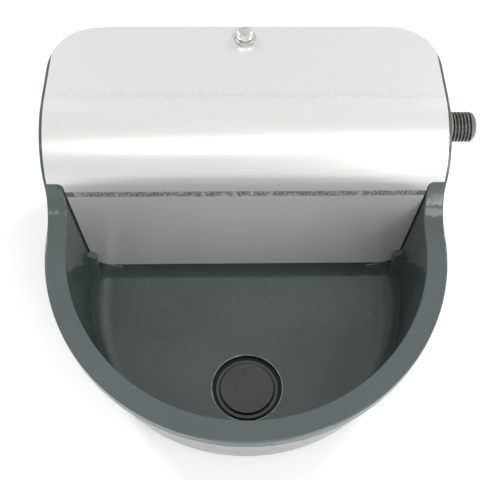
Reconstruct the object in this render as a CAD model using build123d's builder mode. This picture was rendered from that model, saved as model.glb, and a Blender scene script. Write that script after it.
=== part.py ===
"""Livestock drinking bowl: a cast-iron bowl with a float valve under a bent stainless cover.

Millimetres, +Z up. The origin lies on the wall face, midway between the two wall bolts;
+Y points into the wall and +X to the right of someone who faces the bowl.
"""
import os
from math import asin, cos, degrees, radians, sin, tan

from build123d import *

os.makedirs("parts", exist_ok=True)

# Casting: levels and plan
casting_top_z = 26.5
rim_z = -34.0
floor_z = -120.0
floor_thickness = 6.0
foot_height = 6.0
underside_z = floor_z - floor_thickness
base_z = underside_z - foot_height

plan_centre_y = -141.0
rim_half_width = 137.2
rim_front_bulge = 7.8
base_taper = 12.9
rear_corner_radius = 39.0

lip_thickness = 8.0
lip_overhang = 4.5
rim_width = 13.9
rear_wall = 12.0
draft_angle = 4.0
floor_fillet = 15.0
rim_edge_radius = 1.0
base_edge_radius = 6.0

# Cover sheet
sheet = 1.5
cover_overlap = 2.6
bend_radius = 46.0
bend_centre_y = -71.0
cover_rear_gap = 2.5
cover_corner_radius = 31.0
notch_z = -7.0
notch_radius = 4.0
notch_outer_radius = 3.0
baffle_gap = 10.5
baffle_corner_radius = 15.0
baffle_clearance = 1.1
shoulder_clearance = 0.4
shoulder_fillet = 26.0

# Cover bolt, M6, with its washers
bolt_radius = 3.0
bolt_length = 18.0
bolt_edge_distance = 12.0
bolt_head_across_flats = 10.0
bolt_head_height = 4.0
bolt_hole_clearance = 0.1
cover_hole_radius = 3.8
washer_radius = 8.0
washer_thickness = 1.6
washer_hole_radius = 3.2
spring_washer_radius = 5.6
spring_washer_gap = 1.2
spring_washer_turn = 20.0
bolt_boss_radius = 9.0
bolt_boss_depth = 24.0
bolt_hole_depth = 19.0

# Wall bolts
wall_bolt_spacing = 160.0
wall_hole_radius = 5.5
wall_boss_radius = 14.0
wall_boss_height = 3.0

# Feet beside the drain boss
foot_radius = 11.0
foot_inset = 32.3
foot_y = -36.0

# Lugs and ribs that hold the lower corners of the baffle
lug_gap = 1.0
lug_top_z = -86.0
lug_depth = 10.0
lug_tip_depth = 4.0
lug_reach = 6.4
lug_foot_reach = 5.0
lug_edge_radius = 1.2
rib_depth = 5.0
rib_top_z = -96.0
rib_foot_reach = 21.0
rib_web_height = 2.5
lug_root = 4.0

# Drain
drain_y = -216.0
drain_mouth_radius = 25.5
drain_bore_radius = 18.5
drain_shelf_depth = 5.0
drain_boss_radius = 29.0
drain_edge_radius = 1.0
plug_cap_radius = 22.75
plug_cap_thickness = 3.2
plug_recess_radius = 18.6
plug_recess_depth = 1.4
plug_stem_clearance = 0.5
plug_stem_wall = 3.0
plug_pip_radius = 3.2
plug_pip_height = 0.4
plug_pip_offset = 10.0
seal_thickness = 1.2

# Inlet valve, along X
valve_y = -78.0
valve_z = 6.0
thread_radius = 20.955 / 2
thread_reach = 20.0
thread_chamfer = 1.6
stem_relief = 0.2
stem_clearance = 0.05
inlet_boss_radius = 19.0
inner_boss_radius = 18.0
inlet_boss_length = 18.2
gasket_thickness = 1.5
gasket_radius = 13.5
locknut_across_flats = 27.0
locknut_height = 7.0
body_hex_across_flats = 24.0
body_hex_length = 8.0
body_hex_gap = 2.0
barrel_radius = 10.0
barrel_length = 26.0
inlet_bore_radius = 7.0
nozzle_radius = 6.0
nozzle_bore_radius = 2.5
nozzle_length = 12.0
nozzle_seat_radius = 3.6
nozzle_seat_height = 1.2
window_length = 8.0
window_width = 9.0

# Piston and lever
piston_radius = 5.0
piston_clearance = 0.06
piston_tail = 8.0
piston_chamfer = 0.6
piston_seal_thickness = 3.0
piston_seal_radius = 4.2
lever_offset = 12.0
float_swing = 18.0
pivot_radius = 2.5
pivot_clearance = 0.05
hub_radius = 5.5
hub_width = 10.0
hub_gap = 0.3
ear_thickness = 3.2
ear_radius = 6.5
tip_radius = 3.6
tip_width = 4.0
tip_clearance = 0.3
clip_thickness = 1.0
clip_radius = 4.6
pin_overhang = 1.2

# Float and its arm, drawn level and hung at the swing angle
arm_reach = 92.0
arm_drop = 22.0
pad_thickness = 3.0
pad_length = 44.0
pad_width = 26.0
pad_corner_radius = 6.5
float_length = 84.0
float_width = 62.0
float_height = 40.0
float_corner_radius = 14.0
float_edge_radius = 6.0
float_bolt_radius = 3.0
float_bore_clearance = 0.3
float_head_radius = 7.0
float_head_height = 3.0
screw_overhang = 1.2
float_washer_radius = 9.0
float_washer_thickness = 1.2
float_nut_radius = 5.5
float_nut_height = 5.0
float_nut_wing = 12.0
float_nut_wing_height = 9.0
float_nut_wing_thickness = 2.4

# Strainer in the inlet bore
strainer_radius = 4.6
strainer_wall = 0.8
strainer_length = 24.0
strainer_slots = 6
strainer_slot_width = 1.2
strainer_fit = 0.05

# Places that follow from the sizes above
cover_top_z = casting_top_z + sheet
bend_centre_z = cover_top_z - bend_radius
baffle_front_y = bend_centre_y - bend_radius
baffle_back_y = baffle_front_y + sheet
baffle_bottom_z = floor_z + baffle_gap
cover_half_width = rim_half_width - cover_overlap
wall_half_width = rim_half_width - lip_overhang
base_half_width = rim_half_width - base_taper
cavity_half_width = rim_half_width - rim_width
shoulder_radius = bend_radius - sheet
shoulder_centre_y = baffle_back_y + shoulder_clearance + shoulder_radius
shoulder_span = shoulder_radius + shoulder_fillet
shoulder_rise = degrees(asin((rim_z + shoulder_fillet - bend_centre_z) / shoulder_span))
shoulder_fillet_y = shoulder_centre_y - shoulder_span * cos(radians(shoulder_rise))
bolt_y = -cover_rear_gap - bolt_edge_distance
far = 400.0
touching = 0.01
steep = 0.8

seat_travel = lever_offset * sin(radians(float_swing))
foot_x = base_half_width - foot_inset
stem_radius = thread_radius - stem_relief
thread_end_x = rim_half_width + thread_reach
inner_boss_face_x = rim_half_width - inlet_boss_length
locknut_face_x = inner_boss_face_x - gasket_thickness
hex_face_x = locknut_face_x - locknut_height - body_hex_gap
barrel_face_x = hex_face_x - body_hex_length
barrel_end_x = barrel_face_x - barrel_length
pivot_z = valve_z - lever_offset
ear_gap = hub_width + 2 * hub_gap
pivot_x = barrel_end_x - ear_radius - tip_clearance
seat_x = barrel_face_x - nozzle_seat_height
piston_nose_x = seat_x - seat_travel


def cavity_half_width_at(z):
    """Half the width inside the bowl, which the draft widens upwards."""
    return cavity_half_width + (z - rim_z) * tan(radians(draft_angle))


def cavity_rear_at(z):
    """Inner face of the rear wall, drafted like the sides."""
    return -rear_wall - (casting_top_z - z) * tan(radians(draft_angle))


def d_plan(half_width, front_bulge, rear_y, corner):
    """Plan of the bowl: half an oval at the front, straight sides, rounded rear corners."""
    with BuildSketch() as plan:
        with BuildLine():
            EllipticalCenterArc((0, plan_centre_y), half_width, half_width + front_bulge, 180, arc_size=180)
            Line((half_width, plan_centre_y), (half_width, rear_y - corner))
            CenterArc((half_width - corner, rear_y - corner), corner, 0, 90)
            Line((half_width - corner, rear_y), (corner - half_width, rear_y))
            CenterArc((corner - half_width, rear_y - corner), corner, 90, 90)
            Line((-half_width, rear_y - corner), (-half_width, plan_centre_y))
        make_face()
    return plan.sketch


def top_profile(depth, front_y):
    """Side view of the casting's top edge, or of a line at this depth below it."""
    quarter = 90 - shoulder_rise
    hollow_centre = (shoulder_fillet_y, rim_z + shoulder_fillet)
    Line((front_y, rim_z - depth), (shoulder_fillet_y, rim_z - depth))
    CenterArc(hollow_centre, shoulder_fillet + depth, -90, quarter)
    CenterArc((shoulder_centre_y, bend_centre_z), shoulder_radius - depth, 90 + quarter, -quarter)
    Line((shoulder_centre_y, casting_top_z - depth), (far, casting_top_z - depth))


def lies_on_top(edge):
    """True for an edge that follows the casting's top surface, from the rim to the wall."""
    points = [edge @ share for share in (0, 0.5, 1)]
    flattened = [Vertex(0, point.Y, point.Z) for point in points]
    return all(top_edge.line.distance_to(point) < touching for point in flattened)


def crosses_rim(edge):
    """True for a straight edge that runs across the rim from one side to the other."""
    along_x = abs((edge % 0.5).X) > 1 - touching
    return edge.geom_type == GeomType.LINE and along_x and (edge @ 0.5).Y < -rear_wall


def side_plane(x=0.0):
    """Plane across the bowl, its sketch x along +Y and its sketch y up."""
    return Plane(origin=(x, 0, 0), x_dir=(0, 1, 0), z_dir=(1, 0, 0))


def front_plane(y=0.0):
    """Plane along the bowl's width, its sketch x along +X, its sketch y up, facing the front."""
    return Plane(origin=(0, y, 0), x_dir=(1, 0, 0), z_dir=(0, -1, 0))


def valve_plane(x):
    """Plane across the inlet's axis."""
    return Plane(origin=(x, valve_y, valve_z), x_dir=(0, 1, 0), z_dir=(1, 0, 0))


with BuildLine(side_plane()) as top_edge:
    top_profile(0, -far)

# The space inside the casting: one drafted pocket with a round edge at the floor
with BuildPart() as core:
    for level in (floor_z, casting_top_z + lip_thickness):
        with BuildSketch(Plane.XY.offset(level)):
            half = cavity_half_width_at(level)
            corner = rear_corner_radius - rear_wall
            add(d_plan(half, rim_front_bulge, cavity_rear_at(level), corner))
    loft(ruled=True)
    fillet(core.edges().group_by(Axis.Z)[0], radius=floor_fillet)

# The rounded lip that runs along the rim, up the shoulders and round the float chamber
with BuildPart() as lip:
    with BuildSketch(Plane.XY.offset(base_z)):
        add(d_plan(rim_half_width, rim_front_bulge, 0, rear_corner_radius))
    extrude(amount=casting_top_z - base_z)
    with BuildSketch(side_plane(-far / 2)):
        with BuildLine():
            top_profile(0, -far)
            Line((far, casting_top_z), (far, casting_top_z - lip_thickness))
            top_profile(lip_thickness, -far)
            Line((-far, rim_z - lip_thickness), (-far, rim_z))
        make_face()
    extrude(amount=far, mode=Mode.INTERSECT)

# Cast lug that keeps a lower corner of the baffle from swinging forwards: a fin that
# runs down the drafted wall into the floor
with BuildPart() as lug:
    lug_back_y = baffle_front_y - lug_gap
    lug_wall_x = cavity_half_width_at(lug_top_z)
    lug_toe_x = cavity_half_width_at(floor_z) - lug_foot_reach
    with BuildSketch(front_plane(lug_back_y)):
        with BuildLine():
            Polyline(
                (lug_wall_x + lug_root, lug_top_z),
                (lug_wall_x - lug_reach, lug_top_z - lug_reach),
                (lug_toe_x, floor_z + lug_reach),
                (lug_toe_x, floor_z - lug_root),
                (lug_wall_x + lug_root, floor_z - lug_root),
                close=True,
            )
        make_face()
    extrude(amount=lug_depth)
    with BuildSketch(side_plane()):
        with BuildLine():
            Polyline(
                (lug_back_y, lug_top_z),
                (lug_back_y - lug_tip_depth, lug_top_z),
                (lug_back_y - lug_depth, floor_z),
                (lug_back_y - lug_depth, floor_z - lug_root),
                (lug_back_y, floor_z - lug_root),
                close=True,
            )
        make_face()
    extrude(amount=far, mode=Mode.INTERSECT)
    inner_edges = lug.edges().filter_by(lambda edge: (edge @ 0.5).X < lug_wall_x - lug_reach / 2)
    fillet(inner_edges.filter_by(lambda edge: abs((edge % 0.5).Z) > steep), radius=lug_edge_radius)

# Rib behind each lower corner, its top a hollow curve from the wall to the floor
with BuildPart() as rib:
    with BuildSketch(front_plane(baffle_back_y + lug_gap + rib_depth)):
        with BuildLine():
            rib_wall_x = cavity_half_width_at(rib_top_z)
            rib_foot_x = cavity_half_width_at(floor_z) - rib_foot_reach
            rib_back_x = rib_wall_x + lug_root
            crest = Line((rib_back_x, rib_top_z), (rib_wall_x - lug_gap, rib_top_z))
            toe = Line((rib_foot_x, floor_z + rib_web_height), (rib_foot_x, floor_z - lug_root))
            TangentArc(toe @ 0, crest @ 1, tangent=(1, 0))
            Polyline(toe @ 1, (rib_back_x, floor_z - lug_root), crest @ 0)
        make_face()
    extrude(amount=rib_depth)
    hollow_edges = rib.edges().filter_by(GeomType.CIRCLE)
    fillet(hollow_edges, radius=lug_edge_radius)

with BuildPart() as bowl_casting:
    # Outer wall, tapering down to the underside
    with BuildSketch(Plane.XY.offset(underside_z)):
        add(d_plan(base_half_width, 0, 0, rear_corner_radius))
    with BuildSketch(Plane.XY.offset(rim_z - lip_thickness)):
        add(d_plan(wall_half_width, rim_front_bulge, 0, rear_corner_radius))
    loft(ruled=True)
    fillet(bowl_casting.edges().group_by(Axis.Z)[0], radius=base_edge_radius)
    with BuildSketch(Plane.XY.offset(rim_z - lip_thickness)):
        add(d_plan(wall_half_width, rim_front_bulge, 0, rear_corner_radius))
    extrude(amount=casting_top_z - rim_z + lip_thickness)
    # Pad outside the inlet hole, flush with the lip
    with BuildSketch(valve_plane(wall_half_width - lip_overhang)):
        Circle(inlet_boss_radius)
    extrude(amount=2 * lip_overhang)
    # Everything above the rim and in front of the shoulders is open
    with BuildSketch(side_plane(-far / 2)):
        with BuildLine():
            top_profile(0, -far)
            Polyline((far, casting_top_z), (far, far), (-far, far), (-far, rim_z))
        make_face()
    extrude(amount=far, mode=Mode.SUBTRACT)
    add(lip.part)
    add(core.part, mode=Mode.SUBTRACT)
    # Edges of the rim, the shoulders and the chamber's top are rounded
    rim_edges = bowl_casting.edges().filter_by(lies_on_top)
    fillet(rim_edges.filter_by(crosses_rim, reverse=True), radius=rim_edge_radius)
    # Drain boss and rear feet
    with BuildSketch(Plane.XY.offset(base_z)):
        with Locations((0, drain_y)):
            Circle(drain_boss_radius)
        with Locations((foot_x, foot_y), (-foot_x, foot_y)):
            Circle(foot_radius)
    extrude(amount=foot_height + floor_thickness / 2)
    with BuildSketch(Plane.XY.offset(floor_z - drain_shelf_depth)):
        with Locations((0, drain_y)):
            Circle(drain_boss_radius)
    extrude(amount=drain_shelf_depth)
    with BuildSketch(Plane.XY.offset(floor_z)):
        with Locations((0, drain_y)):
            Circle(drain_mouth_radius)
    extrude(amount=-drain_shelf_depth, mode=Mode.SUBTRACT)
    with BuildSketch(Plane.XY.offset(base_z)):
        with Locations((0, drain_y)):
            Circle(drain_bore_radius)
    extrude(amount=foot_height + floor_thickness, mode=Mode.SUBTRACT)
    # Lugs in front of the baffle's lower corners, with a rib behind each
    for holder in (lug, rib):
        add(holder.part)
        add(holder.part.mirror(Plane.YZ))
    # Boss inside the inlet hole
    with BuildSketch(valve_plane(inner_boss_face_x)):
        Circle(inner_boss_radius)
    extrude(amount=wall_half_width - inner_boss_face_x)
    with BuildSketch(valve_plane(inner_boss_face_x)):
        Circle(stem_radius + stem_clearance)
    extrude(amount=2 * inlet_boss_length, mode=Mode.SUBTRACT)
    # Bosses inside the wall holes
    with BuildSketch(front_plane(-rear_wall / 2)):
        with GridLocations(wall_bolt_spacing, 1, 2, 1):
            Circle(wall_boss_radius)
    extrude(amount=wall_boss_height - cavity_rear_at(0) - rear_wall / 2)
    with BuildSketch(front_plane()):
        with GridLocations(wall_bolt_spacing, 1, 2, 1):
            Circle(wall_hole_radius)
    extrude(amount=2 * rear_wall, mode=Mode.SUBTRACT)
    # Boss that takes the cover bolt, webbed to the rear wall
    with BuildSketch(Plane.XY.offset(casting_top_z)):
        with Locations((0, bolt_y)):
            Circle(bolt_boss_radius)
        with Locations((0, bolt_y / 2 - rear_wall / 4)):
            Rectangle(2 * bolt_boss_radius, -bolt_y - rear_wall / 2)
    extrude(amount=-bolt_boss_depth)
    with BuildSketch(Plane.XY.offset(casting_top_z)):
        with Locations((0, bolt_y)):
            Circle(bolt_radius + bolt_hole_clearance)
    extrude(amount=-bolt_hole_depth, mode=Mode.SUBTRACT)
bowl_casting.part.label = "bowl_casting"

# Cover: one bent sheet, its front hanging into the bowl as a baffle
with BuildPart() as cover:
    with BuildSketch(side_plane(-cover_half_width)):
        with BuildLine():
            rear = (-cover_rear_gap, cover_top_z)
            Polyline((bend_centre_y, casting_top_z), (-cover_rear_gap, casting_top_z), rear,
                     (bend_centre_y, cover_top_z))
            CenterArc((bend_centre_y, bend_centre_z), bend_radius, 90, 90)
            Polyline((baffle_front_y, bend_centre_z), (baffle_front_y, baffle_bottom_z),
                     (baffle_back_y, baffle_bottom_z), (baffle_back_y, bend_centre_z))
            CenterArc((bend_centre_y, bend_centre_z), shoulder_radius, 180, -90)
        make_face()
    extrude(amount=2 * cover_half_width)
    # Rear corners follow the casting
    fillet(
        cover.edges().filter_by(Axis.Z).group_by(Axis.Y)[-1],
        radius=cover_corner_radius,
    )
    # Front view: full width over the shoulders, then the tab that fits inside the bowl
    with BuildSketch(front_plane(far / 2)) as cover_front:
        with BuildLine():
            tab_top = cavity_half_width_at(notch_z) - baffle_clearance
            tab_foot = cavity_half_width_at(baffle_bottom_z) - baffle_clearance
            Polyline(
                (cover_half_width, far),
                (cover_half_width, notch_z),
                (tab_top, notch_z),
                (tab_foot, baffle_bottom_z),
                (-tab_foot, baffle_bottom_z),
                (-tab_top, notch_z),
                (-cover_half_width, notch_z),
                (-cover_half_width, far),
                close=True,
            )
        make_face()
        levels = cover_front.vertices().group_by(Axis.Y)
        fillet(levels[0], radius=baffle_corner_radius)
        notch = cover_front.vertices().group_by(Axis.Y)[-2].sort_by(Axis.X)
        fillet(notch[1:3], radius=notch_radius)
        fillet([notch[0], notch[3]], radius=notch_outer_radius)
    extrude(amount=far, mode=Mode.INTERSECT)
    with BuildSketch(Plane.XY.offset(cover_top_z)):
        with Locations((0, bolt_y)):
            Circle(cover_hole_radius)
    extrude(amount=-2 * sheet, mode=Mode.SUBTRACT)
cover.part.label = "cover"

# Cover bolt and its washers
with BuildPart() as cover_washer:
    with BuildSketch(Plane.XY.offset(cover_top_z)):
        with Locations((0, bolt_y)):
            Circle(washer_radius)
            Circle(washer_hole_radius, mode=Mode.SUBTRACT)
    extrude(amount=washer_thickness)
cover_washer.part.label = "cover_washer"

spring_washer_z = cover_top_z + washer_thickness
with BuildPart() as cover_spring_washer:
    with BuildSketch(Plane.XY.offset(spring_washer_z)):
        with Locations((0, bolt_y)):
            Circle(spring_washer_radius)
            Circle(washer_hole_radius, mode=Mode.SUBTRACT)
        with Locations((spring_washer_radius, bolt_y)):
            Rectangle(spring_washer_radius, spring_washer_gap, rotation=spring_washer_turn,
                      mode=Mode.SUBTRACT)
    extrude(amount=washer_thickness)
cover_spring_washer.part.label = "cover_spring_washer"

bolt_seat_z = spring_washer_z + washer_thickness
with BuildPart() as cover_bolt:
    with BuildSketch(Plane.XY.offset(bolt_seat_z)):
        with Locations((0, bolt_y)):
            RegularPolygon(bolt_head_across_flats / 2, 6, major_radius=False)
    extrude(amount=bolt_head_height)
    # The head's corners are turned off on top
    with BuildSketch(Plane.XY.offset(bolt_seat_z)):
        with Locations((0, bolt_y)):
            Circle(bolt_head_across_flats / 2 + bolt_head_height)
    extrude(amount=bolt_head_height, taper=45, mode=Mode.INTERSECT)
    with BuildSketch(Plane.XY.offset(bolt_seat_z)):
        with Locations((0, bolt_y)):
            Circle(bolt_radius)
    extrude(amount=-bolt_length)
cover_bolt.part.label = "cover_bolt"

# Drain plug: a dished cap on a hollow stem, seated on a flat seal
plug_seat_z = floor_z - drain_shelf_depth + seal_thickness
with BuildPart() as drain_plug:
    with BuildSketch(Plane.XY.offset(plug_seat_z)):
        with Locations((0, drain_y)):
            Circle(plug_cap_radius)
    extrude(amount=plug_cap_thickness)
    fillet(drain_plug.edges().group_by(Axis.Z)[-1], radius=drain_edge_radius)
    with BuildSketch(Plane.XY.offset(plug_seat_z + plug_cap_thickness)):
        with Locations((0, drain_y)):
            Circle(plug_recess_radius)
    extrude(amount=-plug_recess_depth, mode=Mode.SUBTRACT)
    # Moulding pip on the dished face
    with BuildSketch(Plane.XY.offset(plug_seat_z + plug_cap_thickness - plug_recess_depth)):
        with Locations((-plug_pip_radius / 2, drain_y + plug_pip_offset)):
            Circle(plug_pip_radius)
    extrude(amount=-plug_pip_height, mode=Mode.SUBTRACT)
    with BuildSketch(Plane.XY.offset(plug_seat_z)):
        with Locations((0, drain_y)):
            Circle(drain_bore_radius - plug_stem_clearance)
            Circle(drain_bore_radius - plug_stem_clearance - plug_stem_wall, mode=Mode.SUBTRACT)
    extrude(amount=base_z + plug_stem_clearance - plug_seat_z)
drain_plug.part.label = "drain_plug"

with BuildPart() as drain_plug_seal:
    with BuildSketch(Plane.XY.offset(floor_z - drain_shelf_depth)):
        with Locations((0, drain_y)):
            Circle(plug_cap_radius)
            Circle(drain_bore_radius, mode=Mode.SUBTRACT)
    extrude(amount=seal_thickness)
drain_plug_seal.part.label = "drain_plug_seal"

# Valve body: threaded stem through the wall, hexagon, barrel with outlet windows, fork
with BuildPart() as valve_body:
    with BuildSketch(valve_plane(barrel_end_x)):
        Circle(barrel_radius)
    extrude(amount=barrel_length)
    with BuildSketch(valve_plane(barrel_face_x)):
        RegularPolygon(body_hex_across_flats / 2, 6, major_radius=False)
    extrude(amount=body_hex_length)
    with BuildSketch(valve_plane(hex_face_x)):
        Circle(stem_radius)
    extrude(amount=thread_end_x - hex_face_x)
    with BuildSketch(valve_plane(rim_half_width + gasket_thickness)):
        Circle(thread_radius)
    extrude(amount=thread_reach - gasket_thickness)
    chamfer(valve_body.edges().group_by(Axis.X)[-1], length=thread_chamfer)
    # Fork: two ears that carry the pivot pin
    with BuildSketch(Plane.XZ.offset(-valve_y + ear_gap / 2)):
        with Locations((pivot_x, pivot_z)):
            Circle(ear_radius)
        with BuildLine():
            Polyline(
                (pivot_x, pivot_z - ear_radius),
                (barrel_end_x + ear_radius, pivot_z - ear_radius),
                (barrel_end_x + ear_radius, valve_z),
                (barrel_end_x, valve_z),
                (pivot_x - ear_radius, pivot_z),
                close=True,
            )
        make_face()
        with Locations((pivot_x, pivot_z)):
            Circle(pivot_radius + pivot_clearance, mode=Mode.SUBTRACT)
    extrude(amount=ear_thickness)
    mirror(about=Plane.XZ.offset(-valve_y))
    # Bores: inlet, nozzle seat, piston guide
    with BuildSketch(valve_plane(barrel_face_x + nozzle_length)):
        Circle(inlet_bore_radius)
    extrude(amount=thread_end_x - barrel_face_x - nozzle_length, mode=Mode.SUBTRACT)
    with BuildSketch(valve_plane(barrel_face_x - window_length)):
        Circle(nozzle_radius)
    extrude(amount=window_length + nozzle_length, mode=Mode.SUBTRACT)
    with BuildSketch(valve_plane(barrel_end_x)):
        Circle(piston_radius + piston_clearance)
    extrude(amount=barrel_length, mode=Mode.SUBTRACT)
    # Outlet windows round the seat
    with BuildSketch(Plane.XY.offset(valve_z - 2 * barrel_radius)):
        with Locations((barrel_face_x - window_length / 2, valve_y)):
            Rectangle(window_length, window_width)
    extrude(amount=2 * barrel_radius, mode=Mode.SUBTRACT)
    with BuildSketch(front_plane(valve_y + 2 * barrel_radius)):
        with Locations((barrel_face_x - window_length / 2, valve_z)):
            Rectangle(window_length, window_width)
    extrude(amount=4 * barrel_radius, mode=Mode.SUBTRACT)
valve_body.part.label = "valve_body"

with BuildPart() as valve_nozzle:
    with BuildSketch(valve_plane(barrel_face_x)):
        Circle(nozzle_radius)
    extrude(amount=nozzle_length)
    with BuildSketch(valve_plane(seat_x)):
        Circle(nozzle_seat_radius)
    extrude(amount=nozzle_seat_height)
    with BuildSketch(valve_plane(seat_x)):
        Circle(nozzle_bore_radius)
    extrude(amount=nozzle_length + nozzle_seat_height, mode=Mode.SUBTRACT)
valve_nozzle.part.label = "valve_nozzle"


def stem_ring(face_x, radius, length):
    """Ring round the threaded stem, its face at face_x and its body towards the outside."""
    with BuildPart() as ring:
        with BuildSketch(valve_plane(face_x)):
            Circle(radius)
            Circle(stem_radius + stem_clearance, mode=Mode.SUBTRACT)
        extrude(amount=length)
    return ring.part


with BuildPart() as inner_gasket:
    add(stem_ring(locknut_face_x, gasket_radius, gasket_thickness))
inner_gasket.part.label = "inner_gasket"

with BuildPart() as outer_gasket:
    add(stem_ring(rim_half_width, gasket_radius, gasket_thickness))
outer_gasket.part.label = "outer_gasket"

with BuildPart() as valve_locknut:
    with BuildSketch(valve_plane(locknut_face_x - locknut_height)):
        RegularPolygon(locknut_across_flats / 2, 6, major_radius=False)
        Circle(stem_radius + stem_clearance, mode=Mode.SUBTRACT)
    extrude(amount=locknut_height)
valve_locknut.part.label = "valve_locknut"

# Strainer: a slotted thimble with its flange at the mouth of the stem
with BuildPart() as inlet_strainer:
    with BuildSketch(valve_plane(thread_end_x - strainer_length)):
        Circle(strainer_radius)
    extrude(amount=strainer_length)
    with BuildSketch(valve_plane(thread_end_x - strainer_wall)):
        Circle(inlet_bore_radius - strainer_fit)
    extrude(amount=-strainer_wall)
    with BuildSketch(valve_plane(thread_end_x - strainer_length + strainer_wall)):
        Circle(strainer_radius - strainer_wall)
    extrude(amount=strainer_length, mode=Mode.SUBTRACT)
    slot_middle_x = thread_end_x - strainer_length / 2 - strainer_wall
    for step in range(strainer_slots):
        turn = radians(step * 360 / strainer_slots)
        outwards = Plane(
            origin=(slot_middle_x, valve_y, valve_z),
            x_dir=(1, 0, 0),
            z_dir=(0, cos(turn), sin(turn)),
        )
        with BuildSketch(outwards):
            Rectangle(strainer_length / 2, strainer_slot_width)
        extrude(amount=2 * strainer_radius, mode=Mode.SUBTRACT)
inlet_strainer.part.label = "inlet_strainer"

# Piston: slotted for the lever's tip, with a rubber face in its nose
piston_tail_x = pivot_x - piston_tail
with BuildPart() as valve_piston:
    with BuildSketch(valve_plane(piston_tail_x)):
        Circle(piston_radius)
    extrude(amount=piston_nose_x - piston_tail_x)
    chamfer(valve_piston.edges().group_by(Axis.X)[0], length=piston_chamfer)
    with BuildSketch(valve_plane(piston_nose_x)):
        Circle(piston_seal_radius)
    extrude(amount=-piston_seal_thickness, mode=Mode.SUBTRACT)
    with BuildSketch(Plane.XY.offset(valve_z - 2 * piston_radius)):
        with Locations((pivot_x, valve_y)):
            Rectangle(2 * (tip_radius + tip_clearance), tip_width + 2 * tip_clearance)
    extrude(amount=4 * piston_radius, mode=Mode.SUBTRACT)
valve_piston.part.label = "valve_piston"

with BuildPart() as piston_seal:
    with BuildSketch(valve_plane(piston_nose_x)):
        Circle(piston_seal_radius)
    extrude(amount=-piston_seal_thickness)
piston_seal.part.label = "piston_seal"


def lever_plane(y):
    """Plane of the hanging lever: origin on the pivot, sketch x along the float arm's level line."""
    swing = radians(float_swing)
    return Plane(origin=(pivot_x, y, pivot_z), x_dir=(cos(swing), 0, sin(swing)), z_dir=(0, -1, 0))


def float_plane(height):
    """Plane across the float's bolt, this far above the pivot when the arm is level."""
    level = lever_plane(valve_y)
    origin = level.from_local_coords((-arm_reach, height, 0))
    return Plane(origin=origin, x_dir=level.x_dir, z_dir=level.y_dir)


tip_lean = radians(float_swing)
pad_top = pad_thickness - arm_drop
with BuildPart() as float_lever:
    # Arm in side view, hub to pad
    with BuildSketch(lever_plane(valve_y + hub_width / 2)):
        Circle(hub_radius)
        with BuildLine():
            Polyline(
                (0, hub_radius),
                (-arm_reach / 2, pad_top + hub_radius),
                (pad_length / 2 - arm_reach, pad_top),
                (-arm_reach, pad_top),
                (-arm_reach, -arm_drop),
                (pad_length / 2 - arm_reach + pad_thickness, -arm_drop),
                (0, -hub_radius),
                close=True,
            )
        make_face()
    extrude(amount=hub_width)
    with BuildSketch(float_plane(-arm_drop)):
        RectangleRounded(pad_length, pad_width, pad_corner_radius)
    extrude(amount=pad_thickness)
    # Tip that stands in the piston's slot
    with BuildSketch(lever_plane(valve_y + tip_width / 2)):
        with Locations((lever_offset * sin(tip_lean), lever_offset * cos(tip_lean))):
            Circle(tip_radius)
        with Locations((lever_offset * sin(tip_lean) / 2, lever_offset * cos(tip_lean) / 2)):
            Rectangle(tip_radius, lever_offset, rotation=-float_swing)
    extrude(amount=tip_width)
    with BuildSketch(lever_plane(valve_y + hub_width)):
        Circle(pivot_radius + pivot_clearance)
    extrude(amount=2 * hub_width, mode=Mode.SUBTRACT)
    with BuildSketch(float_plane(pad_top)):
        Circle(float_bolt_radius + float_bore_clearance)
    extrude(amount=-2 * pad_thickness, mode=Mode.SUBTRACT)
float_lever.part.label = "float_lever"

pin_length = ear_gap + 2 * ear_thickness + 2 * clip_thickness + 2 * pin_overhang
with BuildPart() as pivot_pin:
    with BuildSketch(Plane(origin=(pivot_x, valve_y + pin_length / 2, pivot_z), z_dir=(0, -1, 0))):
        Circle(pivot_radius)
    extrude(amount=pin_length)
pivot_pin.part.label = "pivot_pin"

with BuildPart() as pivot_clips:
    for side in (1, -1):
        clip_y = valve_y + side * (ear_gap / 2 + ear_thickness)
        with BuildSketch(Plane(origin=(pivot_x, clip_y, pivot_z), x_dir=(1, 0, 0), z_dir=(0, side, 0))):
            Circle(clip_radius)
            Circle(pivot_radius, mode=Mode.SUBTRACT)
            with Locations((0, -clip_radius)):
                Rectangle(pivot_radius, 2 * clip_radius, mode=Mode.SUBTRACT)
        extrude(amount=clip_thickness)
pivot_clips.part.label = "pivot_clips"

# Float: a closed block, rounded in plan and at its edges
with BuildPart() as float_block:
    with BuildSketch(float_plane(-arm_drop)):
        RectangleRounded(float_length, float_width, float_corner_radius)
    extrude(amount=-float_height)
    float_axis = Axis(float_plane(0).origin, float_plane(0).z_dir)
    fillet(float_block.faces().sort_by(float_axis)[0].edges(), radius=float_edge_radius)
    with BuildSketch(float_plane(-arm_drop - float_height)):
        Circle(float_head_radius + float_bore_clearance)
    extrude(amount=float_head_height, mode=Mode.SUBTRACT)
    with BuildSketch(float_plane(-arm_drop - float_height)):
        Circle(float_bolt_radius + float_bore_clearance)
    extrude(amount=float_height, mode=Mode.SUBTRACT)
float_block.part.label = "float"

stack = pad_thickness + float_washer_thickness + float_nut_height
screw_length = float_height + stack + screw_overhang
with BuildPart() as float_screw:
    with BuildSketch(float_plane(-arm_drop - float_height)):
        Circle(float_head_radius)
    extrude(amount=float_head_height)
    with BuildSketch(float_plane(-arm_drop - float_height)):
        Circle(float_bolt_radius)
    extrude(amount=screw_length)
float_screw.part.label = "float_screw"

with BuildPart() as float_washer:
    with BuildSketch(float_plane(pad_top)):
        Circle(float_washer_radius)
        Circle(float_bolt_radius + float_bore_clearance, mode=Mode.SUBTRACT)
    extrude(amount=float_washer_thickness)
float_washer.part.label = "float_washer"

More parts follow.
